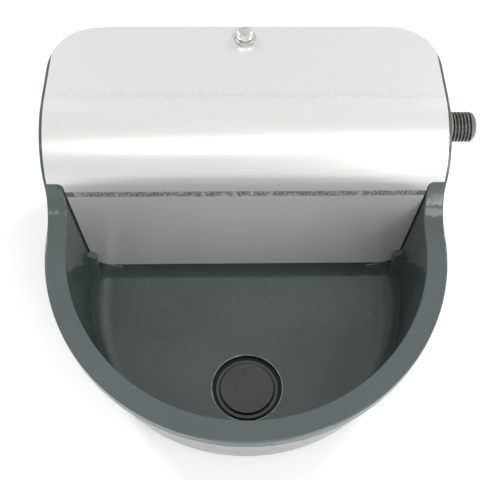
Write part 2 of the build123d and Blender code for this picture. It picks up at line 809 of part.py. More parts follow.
with BuildPart() as float_nut:
    with BuildSketch(float_plane(pad_top + float_washer_thickness)):
        Circle(float_nut_radius)
    extrude(amount=float_nut_height)
    # Two wings to turn it by hand
    with BuildSketch(float_plane(pad_top + float_washer_thickness + float_nut_height / 2)):
        SlotOverall(2 * float_nut_wing, float_nut_wing_thickness)
    extrude(amount=float_nut_wing_height - float_nut_height / 2)
    with BuildSketch(float_plane(pad_top + float_washer_thickness + float_nut_height)):
        Rectangle(2 * float_nut_radius, 2 * float_nut_radius)
    extrude(amount=float_nut_wing_height, mode=Mode.SUBTRACT)
    with BuildSketch(float_plane(pad_top + float_washer_thickness)):
        Circle(float_bolt_radius + pivot_clearance)
    extrude(amount=2 * float_nut_height, mode=Mode.SUBTRACT)
float_nut.part.label = "float_nut"

for piece in (
    bowl_casting, cover, cover_washer, cover_spring_washer, cover_bolt, drain_plug, drain_plug_seal,
    valve_body, valve_nozzle, inner_gasket, outer_gasket, valve_locknut, inlet_strainer,
    valve_piston, piston_seal, float_lever, pivot_pin, pivot_clips, float_block, float_screw,
    float_washer, float_nut,
):
    export_step(piece.part, f"parts/{piece.part.label}.step")
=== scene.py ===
"""Looks of the livestock drinking bowl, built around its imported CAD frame. Metres, +Z up."""
import math

import bmesh
import bpy
from mathutils import Matrix, Vector


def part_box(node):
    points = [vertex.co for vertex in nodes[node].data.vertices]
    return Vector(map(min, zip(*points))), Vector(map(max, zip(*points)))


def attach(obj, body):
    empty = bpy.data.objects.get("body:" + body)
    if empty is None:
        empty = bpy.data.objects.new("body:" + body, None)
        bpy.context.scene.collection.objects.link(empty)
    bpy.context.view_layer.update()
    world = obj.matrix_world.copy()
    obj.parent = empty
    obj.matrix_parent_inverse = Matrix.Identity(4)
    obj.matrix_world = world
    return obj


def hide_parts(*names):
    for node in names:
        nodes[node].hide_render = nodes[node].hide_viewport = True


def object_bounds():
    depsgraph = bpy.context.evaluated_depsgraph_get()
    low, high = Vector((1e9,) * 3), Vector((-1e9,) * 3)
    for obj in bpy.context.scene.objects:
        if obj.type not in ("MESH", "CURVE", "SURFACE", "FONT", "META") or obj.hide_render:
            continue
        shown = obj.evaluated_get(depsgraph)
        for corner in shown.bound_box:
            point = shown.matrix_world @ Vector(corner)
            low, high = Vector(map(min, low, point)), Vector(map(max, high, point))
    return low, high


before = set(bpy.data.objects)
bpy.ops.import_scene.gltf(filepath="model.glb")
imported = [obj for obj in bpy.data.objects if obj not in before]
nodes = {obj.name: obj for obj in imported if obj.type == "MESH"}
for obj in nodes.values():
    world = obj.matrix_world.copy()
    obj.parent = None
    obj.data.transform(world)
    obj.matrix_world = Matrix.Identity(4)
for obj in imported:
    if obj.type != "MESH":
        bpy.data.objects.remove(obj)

cad_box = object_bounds()

MM = 0.001

# Camera: fitted to the bowl's rim, cover and floor
camera_place = Vector((-7.9, -438.7, 422.1)) * MM
camera_pitch = math.radians(57.12)
camera_yaw = math.radians(1.98)
camera_roll = math.radians(1.26)
camera_lens = 57.07
sensor_width = 36.0

# Places that the added pieces take from the frame
inlet_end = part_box("valve_body")[1][0]
inlet_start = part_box("outer_gasket")[1][0]
gasket_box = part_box("outer_gasket")
inlet_axis = [(gasket_box[0][side] + gasket_box[1][side]) / 2 for side in (1, 2)]
bolt_low, bolt_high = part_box("cover_bolt")
bolt_axis = [(bolt_low[side] + bolt_high[side]) / 2 for side in (0, 1)]
plug_low, plug_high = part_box("drain_plug")
plug_axis = [(plug_low[side] + plug_high[side]) / 2 for side in (0, 1)]

# Inlet thread: 1/2 inch, at the coarse pitch that the moulded stem has
inlet_pitch = 2.3 * MM
inlet_crest = 20.955 / 2 * MM
inlet_root = 18.631 / 2 * MM
inlet_bore = 7.0 * MM
inlet_chamfer = 2.6 * MM
inlet_run_out = 0.4 * MM

# Outer gasket: a lip that stands out along the thread
gasket_lip = 2.0 * MM
gasket_lip_rise = 0.35 * MM
gasket_edge = 0.3 * MM

# Cover bolt, M6
bolt_pitch = 1.0 * MM
bolt_crest = 3.0 * MM
bolt_root = 2.45 * MM
bolt_head_height = 4.0 * MM
bolt_head_half = 5.0 * MM
bolt_head_top = 4.5 * MM
bolt_head_cone = math.radians(30)
bolt_head_drops = [drop * MM for drop in (4.0, 2.0, 0.75, 0.6, 0.45, 0.3, 0.2, 0.1, 0.0)]
bolt_run_out = 2.0 * MM
bolt_tip_chamfer = 0.8 * MM

# Drain plug: a raised middle disc inside a lower ring, with a narrow groove at its foot
plug_cap_radius = 22.75 * MM
plug_cap_thickness = 3.2 * MM
plug_disc_radius = 19.3 * MM
plug_groove_radius = 20.0 * MM
plug_ring_drop = 1.9 * MM
plug_groove_depth = 2.6 * MM
plug_stem = (15.0 * MM, 18.0 * MM)
plug_edge = 0.5 * MM
plug_gate = (-2.3 * MM, 12.5 * MM)

# Drain mouth in the bowl's floor, with a bead of enamel on its edge
floor_z = -120.0 * MM
drain_mouth_radius = 25.5 * MM
bead_radius = 0.42 * MM
bead_inset = 0.25 * MM

# Press brake marks along the cover's two bend lines
front_mark_z = -17.4 * MM
front_mark_half = 3.1 * MM
front_mark_solid_x = 118.0 * MM
top_mark_y = -68.5 * MM
top_mark_half = 2.9 * MM
top_mark_smudge_x = -83.0 * MM

# Fineness of the meshes: sides of turned shapes, smoothing angle and the smallest distance kept apart
turned_sides = 96
bead_sides = 120
bead_steps = 12
smooth_below = math.radians(32)
merge_distance = 0.001 * MM

# Light: brightness of the surroundings by height, and each soft box's place, size and power
sweep_levels = ((0.45, 0.50), (0.85, 0.54))
floor_glow_reach = (0.5, 1.6)
floor_glow = (0.24, 0.62)
floor_levels = (0.85, 0.87)
floor_reach = 6.0
light_target = (0.0, -0.12, -0.05)
soft_boxes = (
    ("front_box", (0.35, -1.05, 1.11), (1.70, 0.55), 11.0),
    ("left_box", (-0.87, 0.58, 0.79), (0.20, 0.50), 6.0),
    ("right_box", (0.87, 0.58, 0.79), (0.20, 0.50), 6.0),
    ("low_box", (0.54, -1.15, 0.26), (0.34, 0.70), 4.5),
)


# ---------------------------------------------------------------- materials
class Finish:
    """A node material under construction, with short calls for the nodes that every finish uses."""

    def __init__(self, name, **sockets):
        self.material = bpy.data.materials.new(name)
        self.material.use_nodes = True
        self.tree = self.material.node_tree
        self.shader = self.tree.nodes["Principled BSDF"]
        for key, value in sockets.items():
            self.shader.inputs[key.replace("_", " ")].default_value = value
        self.place = self.tree.nodes.new("ShaderNodeTexCoord").outputs["Object"]

    def node(self, kind, **links):
        """New node whose sockets are given by name, or as i0, i1 and so on by number."""
        made = self.tree.nodes.new(kind)
        for key, value in links.items():
            numbered = key[1:].isdigit()
            socket = made.inputs[int(key[1:]) if numbered else key.replace("_", " ")]
            self.feed(socket, value)
        return made

    def feed(self, socket, value):
        """Link the socket to another node's output, or set it to a plain value."""
        if isinstance(value, bpy.types.NodeSocket):
            self.tree.links.new(value, socket)
        else:
            socket.default_value = value

    def noise(self, scale, detail=3.0, roughness=0.5, stretch=None, turn=(0.0, 0.0, 0.0)):
        place = self.place
        if stretch:
            turned_place = self.node("ShaderNodeMapping", Vector=place, Scale=stretch, Rotation=turn)
            place = turned_place.outputs[0]
        given = {"Vector": place, "Scale": scale, "Detail": detail, "Roughness": roughness}
        return self.node("ShaderNodeTexNoise", **given).outputs["Fac"]

    def ramp(self, value, stops):
        made = self.node("ShaderNodeValToRGB", Fac=value)
        elements = made.color_ramp.elements
        while len(elements) < len(stops):
            elements.new(0.5)
        for element, (position, colour) in zip(elements, stops):
            element.position = position
            element.color = (*colour, 1.0)
        return made.outputs["Color"]

    def grey_ramp(self, value, stops):
        return self.ramp(value, [(position, (level, level, level)) for position, level in stops])

    def math(self, operation, first, second=0.0):
        made = self.node("ShaderNodeMath", i0=first, i1=second)
        made.operation = operation
        return made.outputs[0]

    def mix(self, share, first, second, blend_type="MIX"):
        """Colour from first at a share of 0 to second at 1."""
        made = self.tree.nodes.new("ShaderNodeMix")
        made.data_type = "RGBA"
        made.blend_type = blend_type
        self.feed(made.inputs[0], share)
        for socket, colour in ((made.inputs[6], first), (made.inputs[7], second)):
            self.feed(socket, (*colour, 1.0) if isinstance(colour, tuple) else colour)
        return made.outputs[2]

    def multiply(self, first, second):
        return self.mix(1.0, first, second, "MULTIPLY")

    def between(self, value, low, high):
        """0 at low, 1 at high and straight between them."""
        return self.node("ShaderNodeMapRange", i0=value, i1=low, i2=high).outputs[0]

    def step(self, value, low, high):
        """0 at low and 1 at high, with soft ends."""
        made = self.node("ShaderNodeMapRange", i0=value, i1=low, i2=high)
        made.interpolation_type = "SMOOTHSTEP"
        return made.outputs[0]

    def near(self, value, middle, half, core):
        """1 within core times half of the middle, fading to 0 at half."""
        away = self.math("ABSOLUTE", self.math("SUBTRACT", value, middle))
        return self.step(away, half, core * half)

    def distance(self, first, second):
        squares = [self.math("MULTIPLY", side, side) for side in (first, second)]
        return self.math("SQRT", self.math("ADD", *squares))

    def away(self, centre):
        """Distance from an upright axis through this point of the plan."""
        x = self.math("SUBTRACT", self.axis("X"), centre[0])
        y = self.math("SUBTRACT", self.axis("Y"), centre[1])
        return self.distance(x, y)

    def axis(self, letter):
        parts = self.node("ShaderNodeSeparateXYZ", Vector=self.place)
        return parts.outputs[letter]

    def bump(self, height, strength, distance, after=None):
        made = self.node("ShaderNodeBump", Height=height, Strength=strength, Distance=distance)
        if after is not None:
            self.tree.links.new(after, made.inputs["Normal"])
        return made.outputs["Normal"]

    def set(self, key, value):
        self.tree.links.new(value, self.shader.inputs[key])
        return self


def bowl_enamel():
    """Dark grey-green glossy coat on cast iron, with orange peel and with painted shade in the drain's
    recess.
    """
    paint = Finish("bowl_enamel", Roughness=0.14, Specular_IOR_Level=0.5)
    slow = paint.noise(14.0, 4.0, 0.55)
    fine = paint.noise(420.0, 3.0, 0.6)
    base = paint.ramp(slow, [(0.3, (0.062, 0.081, 0.080)), (0.7, (0.074, 0.095, 0.094))])
    specks = paint.step(paint.noise(900.0, 2.0, 0.7), 0.70, 0.76)
    base = paint.mix(paint.math("MULTIPLY", specks, 0.35), base, (0.22, 0.25, 0.24))
    # Painted shade: the enamel is coloured near black below the edge of the drain's recess, where shade
    # falls
    below = paint.step(paint.axis("Z"), floor_z - 0.5 * MM, floor_z - 1.2 * MM)
    inside = paint.step(paint.away(plug_axis), drain_mouth_radius + 2.0 * MM, drain_mouth_radius + MM)
    recess_shade = paint.math("MULTIPLY", below, inside)
    base = paint.mix(recess_shade, base, (0.012, 0.016, 0.016))
    paint.set("Base Color", base)
    rough = paint.grey_ramp(paint.noise(90.0, 4.0), [(0.3, 0.10), (0.7, 0.17)])
    paint.set("Roughness", paint.mix(recess_shade, rough, (0.6, 0.6, 0.6)))
    peel = paint.bump(paint.noise(260.0, 2.0, 0.5), 0.24, 0.0007)
    swell = paint.bump(paint.noise(60.0, 2.0, 0.4), 0.16, 0.002, after=peel)
    paint.set("Normal", paint.bump(fine, 0.06, 0.0003, after=swell))
    return paint.material


def bead_highlight_enamel():
    """The same enamel on the bead at the drain's edge, painted much lighter in blotches as a highlight
    along that edge.
    """
    paint = Finish("bead_highlight_enamel", Roughness=0.16, Specular_IOR_Level=0.5)
    highlight_blotches = paint.noise(160.0, 3.0, 0.6)
    paint.set("Base Color", paint.ramp(highlight_blotches, [(0.35, (0.17, 0.20, 0.20)), (0.65, (0.42, 0.46, 0.46))]))
    paint.set("Normal", paint.bump(paint.noise(500.0, 2.0), 0.1, 0.0003))
    return paint.material


def rolled_stainless():
    """Matt rolled sheet with a faint grain and the press brake's marks along both bend lines."""
    steel = Finish("rolled_stainless", Metallic=0.4, Roughness=0.3)
    grain = steel.noise(60.0, 4.0, 0.6, stretch=(1.0, 30.0, 30.0))
    cloud = steel.noise(9.0, 3.0, 0.5)
    streak = steel.noise(1.0, 3.0, 0.5, stretch=(38.0, 1.0, 5.0))
    across, along, height = (steel.axis(letter) for letter in "XYZ")
    base = steel.ramp(grain, [(0.3, (0.640, 0.642, 0.622)), (0.7, (0.658, 0.660, 0.640))])
    # Painted shade: the lower part of the baffle is coloured darker, with painted reflections in soft
    # upright streaks
    rise = steel.between(height, -108.0 * MM, 10.0 * MM)
    low_shade = steel.mix(rise, (0.97, 0.975, 0.985), (1.0, 1.0, 1.0))
    reflection_streaks = steel.mix(rise, steel.grey_ramp(streak, [(0.35, 0.93), (0.65, 1.0)]), (1.0, 1.0, 1.0))
    base = steel.multiply(steel.multiply(base, low_shade), reflection_streaks)
    # Front bend: a hatched band, broken in the middle and solid at both ends
    band = steel.near(height, front_mark_z, front_mark_half, 0.75)
    hatch = steel.noise(1.0, 3.0, 0.7, stretch=(1500.0, 900.0, 520.0), turn=(0.0, 0.8, 0.0))
    patches = steel.noise(1.0, 2.0, 0.5, stretch=(160.0, 1.0, 120.0))
    broken = steel.math("MULTIPLY", steel.step(hatch, 0.38, 0.52), steel.step(patches, 0.32, 0.46))
    ends = steel.step(steel.math("ABSOLUTE", across), front_mark_solid_x - MM, front_mark_solid_x)
    front_mark = steel.math("MULTIPLY", band, steel.math("MAXIMUM", broken, ends))
    on_front = steel.step(along, -108.0 * MM, -112.0 * MM)
    front_mark = steel.math("MULTIPLY", front_mark, on_front)
    base = steel.mix(steel.math("MULTIPLY", front_mark, 0.85), base, (0.10, 0.10, 0.098))
    # Top bend: two faint lines with mottling between them, and one smudge
    line = steel.near(along, top_mark_y, top_mark_half, 0.85)
    mottle = steel.noise(1.0, 3.0, 0.6, stretch=(220.0, 420.0, 1.0))
    smudge = steel.near(across, top_mark_smudge_x, 1.6 * MM, 0.3)
    mottle = steel.step(mottle, 0.38, 0.62)
    top_mark = steel.math("MULTIPLY", line, steel.math("MAXIMUM", mottle, smudge))
    on_top = steel.step(height, 20.0 * MM, 24.0 * MM)
    top_mark = steel.math("MULTIPLY", top_mark, on_top)
    base = steel.mix(steel.math("MULTIPLY", top_mark, 0.22), base, (0.42, 0.42, 0.40))
    steel.set("Base Color", base)
    rough = steel.grey_ramp(cloud, [(0.3, 0.285), (0.7, 0.315)])
    marks = steel.math("MAXIMUM", front_mark, steel.math("MULTIPLY", top_mark, 0.3))
    steel.set("Roughness", steel.mix(marks, rough, (0.5, 0.5, 0.5)))
    steel.set("Normal", steel.bump(grain, 0.015, 0.0002))
    return steel.material


def bright_steel(name, roughness=0.28, tint=(0.62, 0.62, 0.60)):
    """Zinc-plated or stainless small part with fine turning marks."""
    steel = Finish(name, Metallic=1.0, Roughness=roughness)
    marks = steel.noise(900.0, 3.0, 0.6)
    darker = tuple(0.8 * part for part in tint)
    steel.set("Base Color", steel.ramp(steel.noise(300.0, 4.0), [(0.35, darker), (0.65, tint)]))
    steel.set("Normal", steel.bump(marks, 0.05, 0.0002))
    return steel.material


def moulded(name, colour, roughness=0.42, peel=0.08):
    """Moulded plastic or rubber with a fine skin texture and slight colour variation."""
    plastic = Finish(name, Roughness=roughness)
    lighter = tuple(min(1.0, 1.25 * part) for part in colour)
    plastic.set("Base Color", plastic.ramp(plastic.noise(60.0, 4.0), [(0.3, colour), (0.7, lighter)]))
    low, high = roughness - 0.06, roughness + 0.06
    skin = plastic.noise(160.0, 3.0)
    plastic.set("Roughness", plastic.grey_ramp(skin, [(0.3, low), (0.7, high)]))
    plastic.set("Normal", plastic.bump(plastic.noise(700.0, 2.0), peel, 0.0003))
    return plastic.material


def thread_plastic():
    """Black moulded plastic of the valve, painted pale on the thread's crests and on its end as a
    painted highlight, with scuff noise in the pale.
    """
    plastic = Finish("valve_plastic", Roughness=0.3)
    across, along, height = (plastic.axis(letter) for letter in "XYZ")
    radius = plastic.distance(
        plastic.math("SUBTRACT", along, inlet_axis[0]),
        plastic.math("SUBTRACT", height, inlet_axis[1]),
    )
    scuffs = plastic.noise(500.0, 4.0, 0.65)
    # Painted highlight: the crests and the chamfered end are coloured pale, mottled by the scuff noise
    crest = plastic.step(radius, inlet_root + 0.35 * MM, inlet_crest - 0.1 * MM)
    tip_start = inlet_end - inlet_chamfer
    tip = plastic.step(across, tip_start - 0.3 * MM, tip_start + 0.2 * MM)
    outside = plastic.step(across, inlet_start - MM, inlet_start)
    crest_highlight_and_wear = plastic.math("MULTIPLY", plastic.math("MAXIMUM", crest, tip), outside)
    cloud = plastic.noise(60.0, 4.0)
    dark = plastic.ramp(cloud, [(0.3, (0.004, 0.004, 0.004)), (0.7, (0.008, 0.009, 0.009))])
    pale_highlight = plastic.ramp(scuffs, [(0.3, (0.10, 0.105, 0.105)), (0.7, (0.26, 0.27, 0.27))])
    plastic.set("Base Color", plastic.mix(crest_highlight_and_wear, dark, pale_highlight))
    plastic.set("Roughness", plastic.grey_ramp(scuffs, [(0.3, 0.24), (0.7, 0.36)]))
    plastic.set("Normal", plastic.bump(plastic.noise(700.0, 2.0), 0.08, 0.0003))
    return plastic.material


def plug_plastic():
    """Dark grey moulded plastic with the soft mark of its gate towards the back."""
    plastic = Finish("plug_plastic", Roughness=0.38)
    cloud = plastic.noise(70.0, 4.0, 0.6)
    base = plastic.ramp(cloud, [(0.3, (0.044, 0.048, 0.047)), (0.7, (0.060, 0.064, 0.062))])
    gate = plastic.away((plug_axis[0] + plug_gate[0], plug_axis[1] + plug_gate[1]))
    mark = plastic.step(gate, 4.2 * MM, 2.4 * MM)
    # Painted shade in the groove round the foot of the raised disc
    off_centre = plastic.away(plug_axis)
    groove_shade = plastic.math(
        "MULTIPLY",
        plastic.step(off_centre, plug_groove_radius + 0.5 * MM, plug_groove_radius),
        plastic.step(plastic.axis("Z"), plug_high[2] - 0.5 * MM, plug_high[2] - 1.0 * MM),
    )
    base = plastic.mix(plastic.math("MULTIPLY", mark, 0.55), base, (0.022, 0.024, 0.024))
    plastic.set("Base Color", plastic.mix(groove_shade, base, (0.006, 0.007, 0.007)))
    plastic.set("Roughness", plastic.grey_ramp(plastic.noise(160.0, 3.0), [(0.3, 0.32), (0.7, 0.44)]))
    plastic.set("Normal", plastic.bump(plastic.noise(700.0, 2.0), 0.08, 0.0003))
    return plastic.material


def turned_brass(name):
    """Brass with fine turning marks."""
    brass = Finish(name, Metallic=1.0, Roughness=0.3)
    cloud = brass.noise(220.0, 4.0)
    brass.set("Base Color", brass.ramp(cloud, [(0.3, (0.55, 0.39, 0.17)), (0.7, (0.70, 0.53, 0.25))]))
    brass.set("Normal", brass.bump(brass.noise(900.0, 2.0), 0.05, 0.0002))
    return brass.material


def fibre(name):
    """Pressed tan fibre of a sealing washer."""
    board = Finish(name, Roughness=0.8)
    fibres = board.noise(700.0, 5.0, 0.7)
    board.set("Base Color", board.ramp(fibres, [(0.3, (0.20, 0.17, 0.12)), (0.7, (0.33, 0.29, 0.22))]))
    board.set("Normal", board.bump(board.noise(1200.0, 3.0), 0.2, 0.0003))
    return board.material


enamel = bowl_enamel()
stainless = rolled_stainless()
finishes = {
    "bowl_casting": enamel,
    "cover": stainless,
    "cover_bolt": bright_steel("bolt_steel"),
    "cover_washer": bright_steel("washer_steel", 0.5, (0.56, 0.56, 0.54)),
    "cover_spring_washer": bright_steel("spring_washer_steel", 0.3, (0.5, 0.5, 0.49)),
    "drain_plug": plug_plastic(),
    "drain_plug_seal": moulded("seal_rubber", (0.018, 0.018, 0.018), 0.6),
    "valve_body": thread_plastic(),
    "valve_nozzle": turned_brass("nozzle_brass"),
    "valve_locknut": moulded("locknut_plastic", (0.030, 0.032, 0.032), 0.4),
    "inner_gasket": moulded("gasket_rubber", (0.020, 0.020, 0.020), 0.65),
    "outer_gasket": fibre("gasket_fibre"),
    "inlet_strainer": moulded("strainer_plastic", (0.55, 0.55, 0.52), 0.45),
    "valve_piston": turned_brass("piston_brass"),
    "piston_seal": moulded("piston_rubber", (0.020, 0.020, 0.020), 0.6),
    "float_lever": moulded("lever_plastic", (0.035, 0.035, 0.035), 0.45),
    "pivot_pin": bright_steel("pin_steel"),
    "pivot_clips": bright_steel("clip_steel", 0.35, (0.5, 0.5, 0.5)),
    "float": moulded("float_plastic", (0.045, 0.085, 0.16), 0.5),
    "float_screw": bright_steel("float_screw_steel"),
    "float_washer": bright_steel("float_washer_steel"),
    "float_nut": bright_steel("float_nut_steel"),
}
for name, finish in finishes.items():
    mesh = nodes[name].data
    mesh.materials.clear()
    mesh.materials.append(finish)


# ---------------------------------------------------------------- screw threads
thread_inputs = ("Crest", "Root", "Pitch", "Length", "Chamfer", "Run-out", "Bore")


def thread_tree():
    """Geometry Nodes for a closed, threaded sleeve or shank along +Z.

    A grid is rolled up twice: its rows follow the section (thread, end face, bore) and its
    columns go round the axis. A bore of 0 closes the ends at the axis.
    """
    tree = bpy.data.node_groups.new("screw_thread", "GeometryNodeTree")
    for label in thread_inputs:
        tree.interface.new_socket(label, in_out="INPUT", socket_type="NodeSocketFloat")
    for label in ("Rows", "Columns"):
        tree.interface.new_socket(label, in_out="INPUT", socket_type="NodeSocketInt")
    tree.interface.new_socket("Material", in_out="INPUT", socket_type="NodeSocketMaterial")
    tree.interface.new_socket("Geometry", in_out="OUTPUT", socket_type="NodeSocketGeometry")
    given = tree.nodes.new("NodeGroupInput").outputs

    def put(kind, *values, **settings):
        made = tree.nodes.new(kind)
        for key, value in settings.items():
            setattr(made, key, value)
        for socket, value in zip(made.inputs, values):
            if isinstance(value, bpy.types.NodeSocket):
                tree.links.new(value, socket)
            elif value is not None:
                socket.default_value = value
        return made.outputs

    def math_node(operation, first, second=0.0):
        return put("ShaderNodeMath", first, second, operation=operation)[0]

    row_points = math_node("ADD", given["Rows"], 4.0)
    column_points = math_node("ADD", given["Columns"], 1.0)
    sheet = put("GeometryNodeMeshGrid", 1.0, 1.0, row_points, column_points)[0]
    grid_x, grid_y, _ = put("ShaderNodeSeparateXYZ", put("GeometryNodeInputPosition")[0])
    row_count = math_node("ADD", given["Rows"], 3.0)
    row = math_node("MULTIPLY", math_node("ADD", grid_x, 0.5), row_count)
    turn = math_node("ADD", grid_y, 0.5)
    # Rows beyond the thread: the bore's far end, its near end, and the first row again
    past_thread = math_node("SUBTRACT", row, given["Rows"])
    is_outward = math_node("LESS_THAN", past_thread, 1.5)
    is_bore = math_node("MULTIPLY", math_node("GREATER_THAN", past_thread, 0.5),
                        math_node("LESS_THAN", past_thread, 2.5))
    share = math_node("MINIMUM", math_node("DIVIDE", row, given["Rows"]), 1.0)
    along = math_node("MULTIPLY", math_node("MULTIPLY", share, is_outward), given["Length"])
    # Thread section: flat crest, flat root and straight flanks
    turns = math_node("SUBTRACT", math_node("DIVIDE", along, given["Pitch"]), turn)
    offset = math_node("ABSOLUTE", math_node("SUBTRACT", math_node("FRACT", turns), 0.5))
    flank = put("ShaderNodeMapRange", offset, 0.09, 0.41)[0]
    depth = math_node("SUBTRACT", given["Crest"], given["Root"])
    thread = math_node("ADD", given["Root"], math_node("MULTIPLY", depth, flank))
    faded = math_node("MULTIPLY", math_node("DIVIDE", along, given["Run-out"]), depth)
    thread = math_node("MAXIMUM", thread, math_node("SUBTRACT", given["Crest"], faded))
    tip = math_node("SUBTRACT", math_node("ADD", given["Crest"], given["Length"]), given["Chamfer"])
    thread = math_node("MINIMUM", thread, math_node("SUBTRACT", tip, along))
    inwards = math_node("MULTIPLY", is_bore, math_node("SUBTRACT", given["Bore"], thread))
    radius = math_node("ADD", thread, inwards)
    angle = math_node("MULTIPLY", turn, math.tau)
    place = put(
        "ShaderNodeCombineXYZ",
        math_node("MULTIPLY", radius, math_node("COSINE", angle)),
        math_node("MULTIPLY", radius, math_node("SINE", angle)),
        along,
    )[0]
    rolled = put("GeometryNodeSetPosition", sheet, True, place)[0]
    closed = put("GeometryNodeMergeByDistance", rolled)[0].node
    closed.inputs["Distance"].default_value = merge_distance
    whole = put("GeometryNodeRealizeInstances", closed.outputs[0])[0]
    finished = put("GeometryNodeSetMaterial", whole, True, given["Material"])[0]
    ending = tree.nodes.new("NodeGroupOutput")
    tree.links.new(finished, ending.inputs[0])
    return tree


def threaded(tree, sizes, rows, columns, material):
    """Plain mesh that the tree makes from these sizes, in the order of thread_inputs."""
    holder = bpy.data.objects.new("thread_blank", bpy.data.meshes.new("thread_blank"))
    bpy.context.scene.collection.objects.link(holder)
    modifier = holder.modifiers.new("screw_thread", "NODES")
    modifier.node_group = tree
    values = dict(zip(thread_inputs, sizes)) | {"Rows": rows, "Columns": columns, "Material": material}
    for item in tree.interface.items_tree:
        if item.in_out == "INPUT":
            modifier[item.identifier] = values[item.name]
    evaluated = holder.evaluated_get(bpy.context.evaluated_depsgraph_get())
    mesh = bpy.data.meshes.new_from_object(evaluated)
    holder.modifiers.remove(modifier)
    bpy.data.objects.remove(holder)
    return mesh


# ---------------------------------------------------------------- pieces
def piece(name, shape, material, body, stands_for=None):
    """Put a finished bmesh into the scene as a piece that rides on its body."""
    for edge in [edge for edge in shape.edges if not edge.link_faces]:
        shape.edges.remove(edge)
    for point in [point for point in shape.verts if not point.link_faces]:
        shape.verts.remove(point)
    bmesh.ops.recalc_face_normals(shape, faces=shape.faces)
    mesh = bpy.data.meshes.new(name)
    shape.to_mesh(mesh)
    shape.free()
    mesh.materials.clear()
    mesh.materials.append(material)
    for face in mesh.polygons:
        face.material_index = 0
        face.use_smooth = True
    mesh.set_sharp_from_angle(angle=smooth_below)
    made = bpy.data.objects.new(name, mesh)
    bpy.context.scene.collection.objects.link(made)
    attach(made, body)
    if stands_for:
        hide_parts(stands_for)
    return made


def on_circle(centre, radius, angle, height):
    return centre[0] + radius * math.cos(angle), centre[1] + radius * math.sin(angle), height


def join_rings(shape, rings):
    """Faces between each ring of points and the next; a ring may be one point, repeated."""
    for lower, upper in zip(rings, rings[1:]):
        for side in range(len(lower)):
            after = (side + 1) % len(lower)
            corners = (lower[side], lower[after], upper[after], upper[side])
            shape.faces.new(list(dict.fromkeys(corners)))


def turned(shape, section, centre, sides=turned_sides):
    """Add a closed solid of revolution about an upright axis. section lists its radii and heights."""
    rings = []
    for radius, height in section:
        if radius == 0.0:
            rings.append([shape.verts.new((*centre, height))] * sides)
            continue
        angles = [math.tau * side / sides for side in range(sides)]
        rings.append([shape.verts.new(on_circle(centre, radius, angle, height)) for angle in angles])
    if section[0][0] > 0.0:
        rings.append(rings[0])
    join_rings(shape, rings)


def rounded(section, radius, steps=4):
    """The section with each of its inner corners replaced by an arc of about this radius."""
    points = [section[0]]
    for before, corner, after in zip(section, section[1:], section[2:]):
        ends = []
        for other in (before, after):
            away = math.dist(corner, other)
            share = min(radius, 0.45 * away) / away
            ends.append([middle + share * (far - middle) for middle, far in zip(corner, other)])
        for step in range(steps + 1):
            t = step / steps
            weights = ((1 - t) ** 2, 2 * t * (1 - t), t ** 2)
            points.append(tuple(
                sum(weight * point[side] for weight, point in zip(weights, (ends[0], corner, ends[1])))
                for side in (0, 1)
            ))
    return points + [section[-1]]


def cover_bolt_piece(tree, material):
    """Hexagon bolt: a head with its corners turned off at 30 degrees on a threaded shank."""
    seat = bolt_high[2] - bolt_head_height
    shank = threaded(
        tree,
        (bolt_crest, bolt_root, bolt_pitch, seat - bolt_low[2], bolt_tip_chamfer, bolt_run_out, 0.0),
        216, 36, material,
    )
    shape = bmesh.new()
    shape.from_mesh(shank)
    bmesh.ops.transform(shape, matrix=Matrix.Rotation(math.pi, 4, "X"), verts=shape.verts)
    bmesh.ops.translate(shape, vec=(*bolt_axis, seat), verts=shape.verts)
    rings = []
    for drop in bolt_head_drops:
        ring = []
        cone = bolt_head_top + drop / math.tan(bolt_head_cone)
        for side in range(turned_sides):
            angle = math.tau * side / turned_sides
            from_flat = angle % (math.pi / 3) - math.pi / 6
            radius = min(bolt_head_half / math.cos(from_flat), cone)
            ring.append(shape.verts.new(on_circle(bolt_axis, radius, angle, bolt_high[2] - drop)))
        rings.append(ring)
    join_rings(shape, rings)
    shape.faces.new(rings[0])
    shape.faces.new(rings[-1])
    return piece("cover_bolt_hexagon", shape, material, "lid", "cover_bolt")


def inlet_piece(tree, material):
    """Valve body whose stem outside the gasket is cut off and carried on as a threaded sleeve."""
    shape = bmesh.new()
    shape.from_mesh(nodes["valve_body"].data)
    bmesh.ops.remove_doubles(shape, verts=shape.verts, dist=merge_distance)
    bmesh.ops.bisect_plane(
        shape, geom=shape.verts[:] + shape.edges[:] + shape.faces[:],
        plane_co=(inlet_start + 0.2 * MM, 0, 0), plane_no=(1, 0, 0), clear_outer=True,
    )
    open_edges = [edge for edge in shape.edges if edge.is_boundary]
    bmesh.ops.bridge_loops(shape, edges=open_edges)
    length = inlet_end - inlet_start
    sleeve = threaded(
        tree,
        (inlet_crest, inlet_root, inlet_pitch, length, inlet_chamfer, inlet_run_out, inlet_bore),
        180, 80, material,
    )
    sideways = Matrix.Rotation(math.pi / 2, 4, "Y")
    sleeve.transform(Matrix.Translation((inlet_start, *inlet_axis)) @ sideways)
    shape.from_mesh(sleeve)
    return piece("valve_body_threaded", shape, material, "bowl", "valve_body")


def gasket_piece(material):
    """Fibre washer on the bowl's side, with a lip that grips the first turn of the thread."""
    low, high = gasket_box
    thickness = high[0] - low[0]
    radius = (high[1] - low[1]) / 2
    lip_radius = inlet_crest + gasket_lip_rise
    bore = inlet_crest - 0.6 * MM
    section = [
        (bore, 0.0), (radius, 0.0), (radius, thickness), (lip_radius, thickness),
        (lip_radius, thickness + gasket_lip), (bore, thickness + gasket_lip), (bore, 0.0),
    ]
    shape = bmesh.new()
    turned(shape, rounded(section, gasket_edge)[:-1], (0.0, 0.0))
    sideways = Matrix.Rotation(math.pi / 2, 3, "Y")
    bmesh.ops.rotate(shape, cent=(0, 0, 0), matrix=sideways, verts=shape.verts)
    bmesh.ops.translate(shape, vec=(low[0], *inlet_axis), verts=shape.verts)
    return piece("outer_gasket_lipped", shape, material, "bowl", "outer_gasket")


